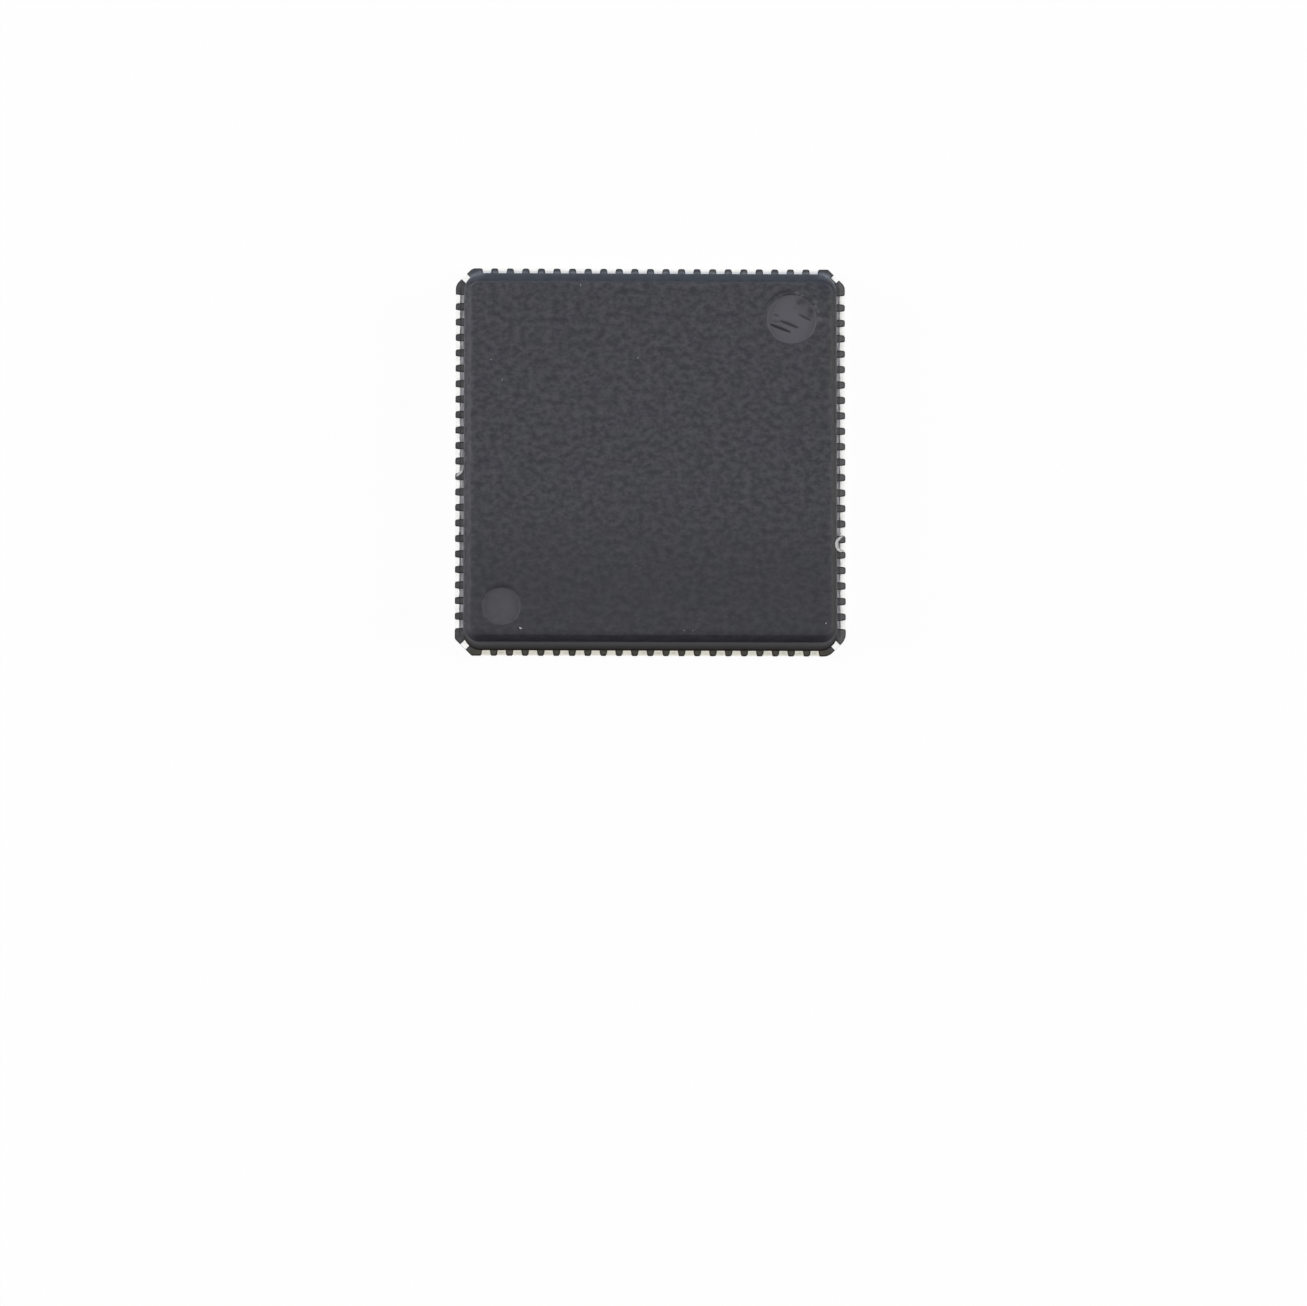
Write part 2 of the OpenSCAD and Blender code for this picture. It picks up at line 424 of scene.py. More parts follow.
def round_profile(points, radii):
    """A line of (outward, z) points whose inner corners are rounded off."""
    result = [points[0]]
    for i in range(1, len(points) - 1):
        before, here, after = (Vector(p) for p in points[i - 1:i + 2])
        room = min((before - here).length, (after - here).length) * ROUNDING_SHARE
        result += bend(before, here, after, min(radii[i], room))
    result.append(points[-1])
    return result


def cap_profile():
    """The cap from its base to the marked face: distance outside the shoulder at -Y and +Y, and height."""
    points = [
        (FOOT_RUN_Y, CAP_BASE_Z),
        (FOOT_RUN_Y - FOOT_STEP_RUN, FRAME_T + FOOT_STEP),
        (0, SHOULDER_Z),
        (-WALL_RUN, FACE_Z - EDGE_BEVEL),
        (-WALL_RUN - EDGE_BEVEL - EDGE_FILLET, FACE_Z - TEXTURE_HEIGHT),
    ]
    line = round_profile(points, (0, FOOT_STEP_R, SHOULDER_FILLET, EDGE_FILLET, 0))
    root = Vector(line[0]).lerp(Vector(line[1]), ROOT_SHARE)
    return [line[0], tuple(root)] + line[1:]


def cap_ring(outward):
    """Half sizes and corner radius of the cap, by the distance outside its shoulder at -Y and +Y."""
    share = max(outward, 0) / FOOT_RUN_Y
    inward = min(outward, 0)
    half_x = HALF_BODY - SHOULDER_INSET_X + inward + share * FOOT_RUN_X
    half_y = HALF_BODY - SHOULDER_INSET_Y + outward
    return half_x, half_y, CAP_CORNER_R + inward + share * (FOOT_CORNER_R - CAP_CORNER_R)


# Rings of that profile: the root of the foot, which is painted with shade, the rounded edge of its step, its
# slope, and the wall
ROOT_RINGS = (0, 1)
EDGE_RINGS = (2, 3, 4, 5, 6, 7)
EDGE_FADE = (1.0, 1.0, 1.0, 0.9, 0.7, 0.4)
SLOPE_RINGS = (6, 7, 8, 9, 10)
WALL_RINGS = (12, 13, 14, 15)
# How dark the painted shade at the root is away from -Y, and at least how dark the painted shade on the
# slope's lower edge is at -Y
ROOT_SHADE_ELSEWHERE = 0.3
SLOPE_EDGE_SHADE = 0.8
# Towards -Y the cap is painted as the side in shade, from the first of these distances from the middle to the
# second
SHADED_SIDE_REACH = (4.35, 4.6)
# Places where the edge of the step is painted with pale glare: middle, radius and strength
CORNER_GLARE_SPOTS = (
    ((4.55, 4.76), 0.34, 0.35),
    ((-4.45, 4.80), 0.26, 0.3),
)


def grime_at(y):
    """1 at the side at -Y, which is painted as the side in shade, and 0 elsewhere."""
    return min(max((-y - SHADED_SIDE_REACH[0]) / (SHADED_SIDE_REACH[1] - SHADED_SIDE_REACH[0]), 0), 1)


def spot(x, y, middle, radius):
    """1 in the middle of a round spot, 0 at its edge, and less outside it."""
    return 1 - (math.dist((x, y), middle) / radius) ** 2


def rime_at(x, y):
    """Strength of the painted glare on the edge of the step."""
    return max(0, *(strength * spot(x, y, middle, radius) for middle, radius, strength in CORNER_GLARE_SPOTS))


def paint_foot(shell, rings):
    """The foot's edge is rubbed lighter and given a painted highlight, with painted glare at the corners at
    +Y. At -Y the highlight is left off, painted shade darkens the root, the slope's lower edge and the wall,
    and painted light lifts the slope. Elsewhere the root has fainter painted shade.
    """
    for number, fade in zip(EDGE_RINGS, EDGE_FADE):
        for i in rings[number]:
            x, y, _ = shell.vertices[i]
            shell.paint("ridge_wear_and_highlight", [i], fade * (1 - grime_at(y)))
            shell.paint("rime", [i], fade * rime_at(x, y))
            shell.paint("root", [i], grime_at(y) * max(fade, SLOPE_EDGE_SHADE))
    for number in ROOT_RINGS:
        for i in rings[number]:
            x, y, _ = shell.vertices[i]
            shell.paint("rime", [i], rime_at(x, y))
            shell.paint("root", [i], max(grime_at(y), ROOT_SHADE_ELSEWHERE))
    for mask, numbers in (("slope", SLOPE_RINGS), ("wall", WALL_RINGS)):
        for number in numbers:
            for i in rings[number]:
                shell.paint(mask, [i], grime_at(shell.vertices[i][1]))


# Rims of the recesses in the marked face, and the half width of the line of painted shade outside them
RIM_OUT = 0.012
RIM_IN = 0.03
RIM_SHADE_W = 0.055
# How quickly the floor's shine fades out on the wall of a recess
WALL_FADE = 3
RIM_RINGS = (0.1, 0.055, 0.025, 0.012, 0.004, -0.005, -0.014, -0.022, -0.03, -0.055)


class Mark:
    """A round recess in the marked face. Its floor is painted lighter as a sheen, and an arc of painted shade
    follows its rim.
    """

    def __init__(self, diameter, inset, corner, shine, arc_out, arc_way, arc_reach):
        self.radius = diameter / 2
        self.x = self.y = corner * (HALF_BODY - inset)
        self.shine = shine
        self.arc_radius = self.radius + arc_out
        self.arc_way = math.radians(arc_way)
        self.arc_reach = math.radians(arc_reach)

    def distance(self, x, y):
        return math.hypot(x - self.x, y - self.y)

    def floor(self, x, y):
        """1 on the recess's floor, 0 outside its rim."""
        t = (self.radius + RIM_OUT - self.distance(x, y)) / (RIM_OUT + RIM_IN)
        t = min(max(t, 0), 1)
        return t * t * (3 - 2 * t)

    def rim(self, x, y):
        """Darkness of the arc of painted shade at a point."""
        band = 1 - abs(self.distance(x, y) - self.arc_radius) / RIM_SHADE_W
        turn = math.remainder(math.atan2(y - self.y, x - self.x) - self.arc_way, math.tau)
        return max(band, 0) * max(1 - (turn / self.arc_reach) ** 2, 0)


# The pin one recess and the ejector recess, with the way and the reach of their arcs of painted shade in
# degrees
MARKS = (
    Mark(diameter=1, inset=1.19, corner=-1, shine=0.6, arc_out=0.035, arc_way=85, arc_reach=60),
    Mark(diameter=1.3, inset=1.39, corner=1, shine=1.0, arc_out=0.09, arc_way=118, arc_reach=44),
)

# Scratches in the marked face, each from one point to another, with a half width and a depth
SCRATCHES = (
    ((3.074, 3.468), (3.560, 3.279), 0.054, 0.018),
    ((3.335, 3.562), (3.750, 3.397), 0.056, 0.015),
    ((3.117, 3.557), (3.350, 3.537), 0.034, 0.006),
    ((3.159, 3.718), (3.253, 3.695), 0.034, 0.010),
    ((3.797, 3.731), (4.088, 3.582), 0.044, 0.012),
)
DEEPEST_SCRATCH = max(scratch[-1] for scratch in SCRATCHES)
# Painted shade in the shallowest scratches beside that in the deepest, and width of a scratch's ends beside
# its middle
SHALLOW_SCRATCH_SHADE = 0.15
SCRATCH_END = 0.55
# Patches of a recess's floor that are duller than the rest of it: middle, half sizes and strength
STAINS = (
    ((3.860, 4.050), (0.17, 0.13), 1.0),
    ((4.066, 3.788), (0.11, 0.24), 1.0),
    ((3.682, 3.899), (0.05, 0.04), 0.6),
    ((3.930, 3.970), (0.30, 0.25), 0.4),
)
STAIN_SHARE = 0.9
# How ragged their edges are, how many rags there are to a millimetre, and how quickly they fade in
STAIN_RAG = 0.35
STAIN_RAGS = 9
STAIN_FADE = 1.6
# Slices of the noise for the stains and for the fine texture of the face
STAIN_SLICE = 3
FINE_SLICE = 7
# Pale smears beside the rim of a recess: middle and radius
SMEARS = (
    ((3.745, 4.279), 0.08),
    ((3.862, 4.202), 0.06),
    ((4.215, 4.055), 0.055),
    ((4.215, 3.935), 0.055),
    ((4.284, 3.801), 0.05),
    ((4.322, 3.607), 0.08),
)


def scratch_at(x, y):
    """Depth of the scratches at a point, and their share of painted shade."""
    depth = dark = 0
    point = Vector((x, y))
    for start, end, half_width, deep in SCRATCHES:
        start, end = Vector(start), Vector(end)
        run = end - start
        t = min(max((point - start).dot(run) / run.length_squared, 0), 1)
        width = half_width * (SCRATCH_END + (1 - SCRATCH_END) * math.sin(math.pi * t))
        share = max(0, 1 - ((point - start - run * t).length / width) ** 2)
        darkness = SHALLOW_SCRATCH_SHADE + (1 - SHALLOW_SCRATCH_SHADE) * deep / DEEPEST_SCRATCH
        depth, dark = max(depth, deep * share), max(dark, share * darkness)
    return depth, dark


def stain_at(x, y):
    """Strength of the stains at a point. Their edges are ragged."""
    ragged = STAIN_RAG * noise.noise(Vector((x, y, STAIN_SLICE)) * STAIN_RAGS)
    strongest = 0
    for (mx, my), (rx, ry), strength in STAINS:
        away = math.hypot((x - mx) / rx, (y - my) / ry)
        strongest = max(strongest, strength * min(STAIN_FADE * (1 + ragged - away), 1))
    return strongest


def smear_at(x, y):
    """1 in the middle of a pale smear."""
    return max(0, *(spot(x, y, middle, radius) for middle, radius in SMEARS))


def face_height(x, y):
    """Height of the marked face, with its moulded texture and its recesses."""
    coarse = noise.noise(Vector((x, y, 0)) / TEXTURE_SIZE)
    fine = noise.noise(Vector((x, y, FINE_SLICE)) * TEXTURE_FINER / TEXTURE_SIZE)
    floor = max(mark.floor(x, y) for mark in MARKS)
    texture = (coarse + TEXTURE_FINE_SHARE * fine) * TEXTURE_GAIN * (1 - SMOOTH_FLOOR * floor)
    return FACE_Z + TEXTURE_HEIGHT * (texture - 1) - MARK_DEPTH * floor - scratch_at(x, y)[0]


def grid_points(step, reach):
    """A staggered grid over a square."""
    row_step = step * math.sqrt(3) / 2
    rows = int(reach / row_step)
    columns = int(reach / step)
    for row in range(-rows, rows + 1):
        shift = step / 2 if row % 2 else 0
        for column in range(-columns, columns + 1):
            yield column * step + shift, row * row_step


def inside_ring(x, y, half_x, half_y, radius):
    """Whether a point lies in a rounded rectangle."""
    over_x, over_y = abs(x) - (half_x - radius), abs(y) - (half_y - radius)
    if over_x <= 0 or over_y <= 0:
        return max(over_x, over_y) <= radius
    return math.hypot(over_x, over_y) <= radius


def face_points(half_x, half_y, radius):
    """Points that fill the marked face: an even grid, with rings and a finer grid at each recess."""
    points = []
    margin = FACE_STEP * EDGE_ROOM
    for x, y in grid_points(FACE_STEP, half_x):
        clear = all(m.distance(x, y) > m.radius + RIM_RINGS[0] + FACE_STEP * RIM_ROOM for m in MARKS)
        if clear and inside_ring(x, y, half_x - margin, half_y - margin, radius):
            points.append((x, y))
    for mark in MARKS:
        for offset in RIM_RINGS:
            points += arc((mark.x, mark.y), mark.radius + offset, 0, 360, MARK_STEPS)[:-1]
        for dx, dy in grid_points(FINE_STEP, mark.radius):
            if math.hypot(dx, dy) < mark.radius + RIM_RINGS[-1] - FINE_STEP * FLOOR_ROOM:
                points.append((mark.x + dx, mark.y + dy))
    return points


def fill_face(shell, edge_ids, half_x, half_y, radius):
    """Triangles over the marked face that share the vertices of the cap's last ring."""
    edge = [Vector(shell.vertices[i][:2]) for i in edge_ids]
    inner = [Vector(p) for p in face_points(half_x, half_y, radius)]
    count = len(edge)
    points, triangles, sources = triangulated(edge + inner, closed_edges(0, count))
    ids = []
    for point, source in zip(points, sources):
        if source and source[0] < count:
            ids.append(edge_ids[source[0]])
        else:
            ids += shell.add([(point.x, point.y, face_height(point.x, point.y))])
    shell.faces += [tuple(ids[i] for i in triangle) for triangle in triangles]


def cap_shell(shell):
    """The cap: a closed shell from its base on the flange to the marked face."""
    profile = cap_profile()
    rings = [shell.ring(rounded_ring(*cap_ring(outward)), z) for outward, z in profile]
    shell.bands(*rings)
    shell.fill(rings[0])
    paint_foot(shell, rings)
    fill_face(shell, rings[-1], *cap_ring(profile[-1][0]))


# The worn edge of the marked face: its lowest height, its middle inside the shoulder, and its half width
WORN_Z = FACE_Z - EDGE_BEVEL - 0.01
WORN_INSET = WALL_RUN + EDGE_BEVEL * 0.7
WORN_HALF_W = 0.05


def edge_wear(x, y, z):
    """1 on the rounded edge of the marked face, where it is rubbed bare."""
    inset = min(HALF_BODY - SHOULDER_INSET_X - abs(x), HALF_BODY - SHOULDER_INSET_Y - abs(y))
    return max(0, 1 - abs(inset - WORN_INSET) / WORN_HALF_W) if z >= WORN_Z else 0


def paint_face(shell):
    """Sets the masks of the marked face: the painted sheen of the recesses' floors, the painted shade at
    their rims and in the scratches, smears and worn edges.
    """
    for i, (x, y, z) in enumerate(shell.vertices):
        shell.paint("worn", [i], edge_wear(x, y, z))
        if z > FACE_Z - 2 * MARK_DEPTH:
            clean = 1 - STAIN_SHARE * stain_at(x, y)
            shell.paint("recess", [i], max(m.floor(x, y) ** WALL_FADE * m.shine for m in MARKS) * clean)
            shell.paint("rim", [i], max(m.rim(x, y) for m in MARKS))
            shell.paint("dark", [i], scratch_at(x, y)[1])
            shell.paint("smear", [i], smear_at(x, y))


def make_mould(material):
    """The flange and the cap, as one piece with its masks."""
    shell = Shell()
    flange_shell(shell, random.Random(TEETH_SEED))
    cap_shell(shell)
    paint_face(shell)
    make_piece("moulded_body", shell, MOULD_CREASE, material, "moulding_compound", "mould_body")


def foot_outline(number):
    """The foot of a lead of side 0: round at its inner end, and a little wider at its cut end."""
    x = lead_centre(number)
    half, low_y = LEAD_W / 2 + FLARE, LEAD_CORNER_R - HALF_BODY
    left = arc((x - half + LEAD_CORNER_R, low_y), LEAD_CORNER_R, 180, 270, LEAD_CORNER_STEPS)
    right = arc((x + half - LEAD_CORNER_R, low_y), LEAD_CORNER_R, 270, 360, LEAD_CORNER_STEPS)
    end = arc((x, FOOT_END_Y), LEAD_W / 2, 0, 180, END_STEPS)
    return left + right + [flare_point(x, 1)] + end + [flare_point(x, -1)]


def finger_outline(number):
    """The finger of a lead of side 0. Those of the end leads stop short of the tie bars."""
    x = lead_centre(number)
    end_y = LEAD_FOOT_L - HALF_BODY + FINGER_L
    clear = (TIE_BAR_W / 2 + TIE_BAR_GAP) * SQRT_2
    tops = []
    for corner_x in (x + FINGER_W / 2, x - FINGER_W / 2):
        limit = -abs(corner_x) - clear if number in (0, LEADS_PER_SIDE - 1) else end_y
        tops.append((corner_x, min(end_y, limit)))
    return [(x - FINGER_W / 2, FOOT_END_Y), (x + FINGER_W / 2, FOOT_END_Y), *tops]


def make_leads(material):
    """One piece for each bank of leads. Banks follow the pin numbers, two on each side."""
    half_count = LEADS_PER_SIDE // 2
    for bank in range(8):
        shell = Shell()
        start = half_count * (bank % 2)
        for number in range(start, start + half_count):
            for outline, low_z in ((foot_outline(number), 0), (finger_outline(number), FINGER_Z)):
                plate(shell, [turned(p, bank // 2) for p in outline], low_z, FRAME_T, LEAD_BEVEL)
        name, node = f"plated_leads_{bank + 1}", f"lead_bank_{bank + 1}"
        make_piece(name, shell, METAL_CREASE, material, "tin_plated_leads", node)


def tie_bar_outline(side):
    """The tie bar of the corner after a side, from its cut end to the pad."""
    before, _, after = corner_line(side)
    reach = PAD_SIZE / 2 + PAD_LIP - TIE_BAR_W
    along = TIE_BAR_W / 2 / SQRT_2
    inner = [(reach + along, -reach + along), (reach - along, -reach - along)]
    return [before[-1], after[0]] + [turned(p, side) for p in inner]


def make_paddle(material):
    """The pad with its half-etched lip and its four tie bars."""
    shell = Shell()
    half_lip = PAD_SIZE / 2 + PAD_LIP
    lip = [turned((-half_lip, -half_lip), side) for side in range(4)]
    plate(shell, pad_outline(), 0, FRAME_T, LEAD_BEVEL)
    plate(shell, lip, FINGER_Z, FRAME_T, LEAD_BEVEL)
    for side in range(4):
        plate(shell, tie_bar_outline(side), FINGER_Z, FRAME_T, LEAD_BEVEL)
    make_piece("plated_paddle", shell, METAL_CREASE, material, "tin_plated_paddle", "die_paddle")


# Numbers of the colour sockets of a mix node
MIX_FIRST = 6
MIX_SECOND = 7
MIX_RESULT = 2


class Nodes:
    """Short calls for building a material's nodes."""

    def __init__(self, name):
        self.material = bpy.data.materials.new(name)
        self.material.use_nodes = True
        self.tree = self.material.node_tree
        self.shader = self.tree.nodes["Principled BSDF"]
        coordinates = self.tree.nodes.new("ShaderNodeTexCoord")
        self.place = self.vector("SCALE", coordinates.outputs["Object"], scale=1 / MM)

    def link(self, value, socket):
        if isinstance(value, bpy.types.NodeSocket):
            self.tree.links.new(value, socket)
        else:
            socket.default_value = value

    def node(self, kind, inputs, **settings):
        """A new node with values or links for its inputs, by name or number, and with its settings."""
        node = self.tree.nodes.new("ShaderNode" + kind)
        for name, value in settings.items():
            setattr(node, name, value)
        for socket, value in inputs.items():
            if value is not None:
                self.link(value, node.inputs[socket])
        return node

    def vector(self, operation, first, second=None, scale=None):
        inputs = {0: first, 1: second, "Scale": scale}
        return self.node("VectorMath", inputs, operation=operation).outputs["Vector"]

    def math(self, operation, first, second=None):
        return self.node("Math", {0: first, 1: second}, operation=operation).outputs[0]

    def product(self, first, *others):
        for other in others:
            first = self.math("MULTIPLY", first, other)
        return first

    def noise(self, scale, detail=2.0, stretch=None, roughness=0.5):
        """Noise with features of 1 / scale millimetres."""
        place = self.vector("MULTIPLY", self.place, stretch) if stretch else self.place
        inputs = {"Vector": place, "Scale": scale, "Detail": detail, "Roughness": roughness}
        return self.node("TexNoise", inputs).outputs["Fac"]

    def range(self, value, low, high, to_low=0.0, to_high=1.0):
        """A smooth step from one number to another."""
        inputs = {"Value": value, "From Min": low, "From Max": high, "To Min": to_low, "To Max": to_high}
        return self.node("MapRange", inputs, interpolation_type="SMOOTHSTEP").outputs["Result"]

    def patches(self, scale, detail, low, high, to_low=0.0, to_high=1.0, **look):
        """Noise as a smooth step between two of its values."""
        return self.range(self.noise(scale, detail, **look), low, high, to_low, to_high)

    def specks(self, scale, outer, inner):
        """Round specks, one in each cell of 1 / scale millimetres."""
        cells = self.node("TexVoronoi", {"Vector": self.place, "Scale": scale})
        return self.range(cells.outputs["Distance"], outer, inner)

    def mix(self, share, *colors):
        first, second = (c if isinstance(c, bpy.types.NodeSocket) else (*c, 1) for c in colors)
        inputs = {"Factor": share, MIX_FIRST: first, MIX_SECOND: second}
        return self.node("Mix", inputs, data_type="RGBA").outputs[MIX_RESULT]

    def mask(self, name):
        return self.node("Attribute", {}, attribute_name=name).outputs["Fac"]

    def axis(self, index):
        return self.node("SeparateXYZ", {0: self.place}).outputs[index]

    def near(self, value, middle, reach):
        """1 where a value is at middle, 0 where it is further than reach from it."""
        return self.range(self.math("ABSOLUTE", self.math("SUBTRACT", value, middle)), reach, 0)

    def bump(self, height, distance, strength, base=None):
        """Bump from a height of 0 to 1 that stands for distance, in millimetres."""
        inputs = {"Height": height, "Distance": distance * MM, "Strength": strength, "Normal": base}
        return self.node("Bump", inputs).outputs["Normal"]

    def bumps(self, *layers, base=None):
        """Bumps of noise, each layer on the one before it."""
        for scale, detail, distance, strength, *stretch in layers:
            base = self.bump(self.noise(scale, detail, *stretch), distance, strength, base)
        return base

    def set(self, **inputs):
        for name, value in inputs.items():
            self.link(value, self.shader.inputs[name.replace("_", " ")])
        return self.material


MOULD_DARK = (0.041, 0.041, 0.048)
MOULD_LIGHT = (0.086, 0.085, 0.096)
MOULD_TINTS = ((0.058, 0.066, 0.068), (0.069, 0.061, 0.076))
TINT_SHARE = 0.2
# Painted shade towards -Y, where less light falls
MOULD_SOUTH_SHADE = (0.044, 0.044, 0.050)
GRAIN_COLOR = (0.15, 0.15, 0.155)
RECESS_SMOOTHER = 0.12
# Tones of the moulding, each over those before it: strength and colour
MOULD_TONES = {
    # The recesses' floors: smoother, and painted lighter as a sheen
    "recess": (1.0, (0.107, 0.105, 0.119)),
    # Painted shade on the rim of each recess, where its wall faces away from the light
    "rim": (0.7, (0.026, 0.025, 0.029)),
    "smear": (0.5, (0.17, 0.17, 0.18)),
    # Painted shade in the scratches, darker where they are deeper
    "dark": (0.9, (0.018, 0.018, 0.021)),
    # Painted cool blue light on the moulding at +Y
    "north_blue_light": (0.8, (0.050, 0.060, 0.077)),
    "east": (0.5, (0.038, 0.038, 0.032)),
    # Painted shade on the cap's corner at +X and +Y
    "corner": (0.5, (0.036, 0.039, 0.052)),
    # Painted light on the foot's slope at -Y
    "slope": (1.0, (0.088, 0.086, 0.092)),
    # Painted shade on the wall at -Y
    "wall": (0.6, (0.015, 0.015, 0.024)),
    # The foot's edge: rubbed lighter, with a painted highlight that is left off at -Y and fainter at +Y
    "ridge_wear_and_highlight": (1.0, (0.165, 0.163, 0.170)),
    "tooth": (0.8, (0.106, 0.105, 0.106)),
    "east_tooth": (0.5, (0.17, 0.17, 0.17)),
    "bleed_line": (0.6, (0.020, 0.020, 0.019)),
    # Painted highlight, pale blue, along the foot's edge at +Y and round its corners there
    "north_ridge_highlight": (1.0, (0.195, 0.215, 0.260)),
    # Painted shade at the foot's root, like a contact shadow, darkest at -Y
    "root": (0.95, (0.014, 0.012, 0.010)),
    # Painted pale glare on the step's edge at the corners at +Y
    "rime": (1.0, (0.58, 0.60, 0.66)),
    "south": (0.6, (0.074, 0.066, 0.044)),
    # Painted shade in the seam round the teeth, darker at -Y
    "seam_shade": (1.0, (0.020, 0.020, 0.019)),
    "worn": (1.0, (0.10, 0.10, 0.108)),
}
# Places along X or Y between which some of them come in, and their shares there unless 0 and 1
SOUTH_SHADE_Y = (-0.5, -3.6, 0.0, 0.5)
NORTH_Y = (HALF_BODY - 0.38, HALF_BODY - 0.27)
EAST_X = (HALF_BODY - 0.43, HALF_BODY - 0.37)
EAST_END_X = (HALF_BODY - 0.21, HALF_BODY - 0.25)
CORNER_SHADE_XY = (4.1, 4.5)
RIDGE_Y = (HALF_BODY - 0.45, HALF_BODY - 0.35, 0.8, 0.3)
EAST_TOOTH_X = (HALF_BODY - 0.18, HALF_BODY - 0.14)
NORTH_RIDGE_X = (4.2, 4.4, 0.75, 1.0)
NORTH_RIDGE_Y = (4.58, 4.68)
SOUTH_Y = (LEDGE_Y + 0.02 - HALF_BODY, LEDGE_Y - HALF_BODY)
SEAM_SHADE_Y = (-4.7, -4.5, 0.9, 0.5)
WORN_X = (-1.0, 3.0, 0.6, 0.2)
BESIDE_CAP_Y = (STRAIGHT, STRAIGHT - 0.1)
# Place along Y and half width of the painted highlight on the foot's edge at +Y. It goes on round the corners
# there, and these are the middles of the foot's rounding
NORTH_RIDGE = 4.895
NORTH_RIDGE_HALF_W = 0.055
FOOT_CENTRE_X = HALF_BODY - LEDGE_X - FOOT_CORNER_R
FOOT_CENTRE_Y = HALF_BODY - LEDGE_Y - FOOT_CORNER_R
# Resin has bled out from the cap this far at -X and +X, to an edge that wanders. A dark line lies this far
# inside the edge, and has this half width
BLEED_EDGES = (4.890, 4.868)
BLEED_WANDER = 0.03
BLEED_LINE = (0.018, 0.026)


def by_side(n, west, east):
    """One number at -X, and another at +X."""
    return n.range(n.axis(0), -1, 1, west, east)


def bleed_depth(n):
    """How far a point lies inside the edge of the resin that has bled out."""
    wander = n.product(n.math("SUBTRACT", n.noise(9, 2), 0.5), BLEED_WANDER)
    edge = n.math("ADD", by_side(n, *BLEED_EDGES), wander)
    return n.math("SUBTRACT", edge, n.math("ABSOLUTE", n.axis(0)))


def beside_cap(n):
    """1 along the sides at -X and +X, 0 at the corners."""
    return n.range(n.math("ABSOLUTE", n.axis(1)), *BESIDE_CAP_Y)


def upper_part(n):
    """1 on the flange's top and above it, 0 on the underside."""
    return n.range(n.axis(2), FINGER_Z, FRAME_T - FLANGE_BEVEL)


def north_highlight_line(n):
    """1 on the painted highlight along the foot's edge at +Y and round its two corners."""
    over_x = n.math("MAXIMUM", n.math("SUBTRACT", n.math("ABSOLUTE", n.axis(0)), FOOT_CENTRE_X), 0)
    over_y = n.math("MAXIMUM", n.math("SUBTRACT", n.axis(1), FOOT_CENTRE_Y), 0)
    reach = n.math("SQRT", n.math("ADD", n.product(over_x, over_x), n.product(over_y, over_y)))
    line = n.near(reach, NORTH_RIDGE - FOOT_CENTRE_Y, NORTH_RIDGE_HALF_W)
    return n.product(line, n.range(n.axis(1), *NORTH_RIDGE_Y), n.range(n.axis(0), *NORTH_RIDGE_X))


def mould_base(n):
    """The compound's colour: mottled, faintly tinted, with specks of silica, and painted shade that darkens
    it towards -Y.
    """
    mottle = n.patches(6, 4, 0.3, 0.7, stretch=(0.85, 1.1, 1), roughness=0.62)
    color = n.mix(mottle, MOULD_DARK, MOULD_LIGHT)
    color = n.mix(TINT_SHARE, color, n.mix(n.patches(1.3, 2, 0.4, 0.6), *MOULD_TINTS))
    color = n.mix(n.range(n.axis(1), *SOUTH_SHADE_Y), color, MOULD_SOUTH_SHADE)
    grains = n.product(n.specks(11, 0.2, 0.08), n.patches(3.1, 0, 0.55, 0.72, 0.0, 0.5))
    return n.mix(grains, color, GRAIN_COLOR)


def tone_places(n):
    """Where the moulding's tones lie. Those that aren't here lie where the mask with their name does."""
    x, y, upper = n.axis(0), n.axis(1), upper_part(n)
    uneven, tooth = n.patches(6, 2, 0.35, 0.65, 0.5, 1.0), n.mask("tooth")
    return {
        "north_blue_light": n.product(upper, n.range(y, *NORTH_Y)),
        "east": n.product(n.range(x, *EAST_X), n.range(x, *EAST_END_X)),
        "corner": n.product(upper, n.range(x, *CORNER_SHADE_XY), n.range(y, *CORNER_SHADE_XY)),
        "ridge_wear_and_highlight": n.product(n.mask("ridge_wear_and_highlight"), uneven, n.range(y, *RIDGE_Y)),
        "tooth": n.product(tooth, uneven),
        "east_tooth": n.product(tooth, n.range(x, *EAST_TOOTH_X)),
        "bleed_line": n.product(tooth, beside_cap(n), n.near(bleed_depth(n), *BLEED_LINE)),
        "north_ridge_highlight": n.product(upper, uneven, north_highlight_line(n)),
        "rime": n.product(n.mask("rime"), uneven),
        "south": n.product(upper, n.range(y, *SOUTH_Y)),
        "seam_shade": n.product(n.mask("seam_shade"), n.range(y, *SEAM_SHADE_Y)),
        "worn": n.product(n.mask("worn"), n.patches(2.6, 2, 0.55, 0.8), n.range(x, *WORN_X)),
    }


def mould_material():
    """Epoxy moulding compound: matt and mottled, with silica grains, smooth recesses, rubbed edges, and
    painted light and shade.
    """
    n = Nodes("moulding_compound_matt")
    color = mould_base(n)
    places = tone_places(n)
    for name, (strength, tone) in MOULD_TONES.items():
        place = places[name] if name in places else n.mask(name)
        color = n.mix(n.product(place, strength), color, tone)
    smoother = n.product(n.mask("recess"), RECESS_SMOOTHER)
    rough = n.math("SUBTRACT", n.patches(4, 2, 0.3, 0.7, 0.70, 0.86), smoother)
    normal = n.bumps((9, 3, 0.004, 0.6), (28, 2, 0.0016, 0.6))
    return n.set(Base_Color=color, Roughness=rough, Normal=normal, Specular_IOR_Level=0.12)


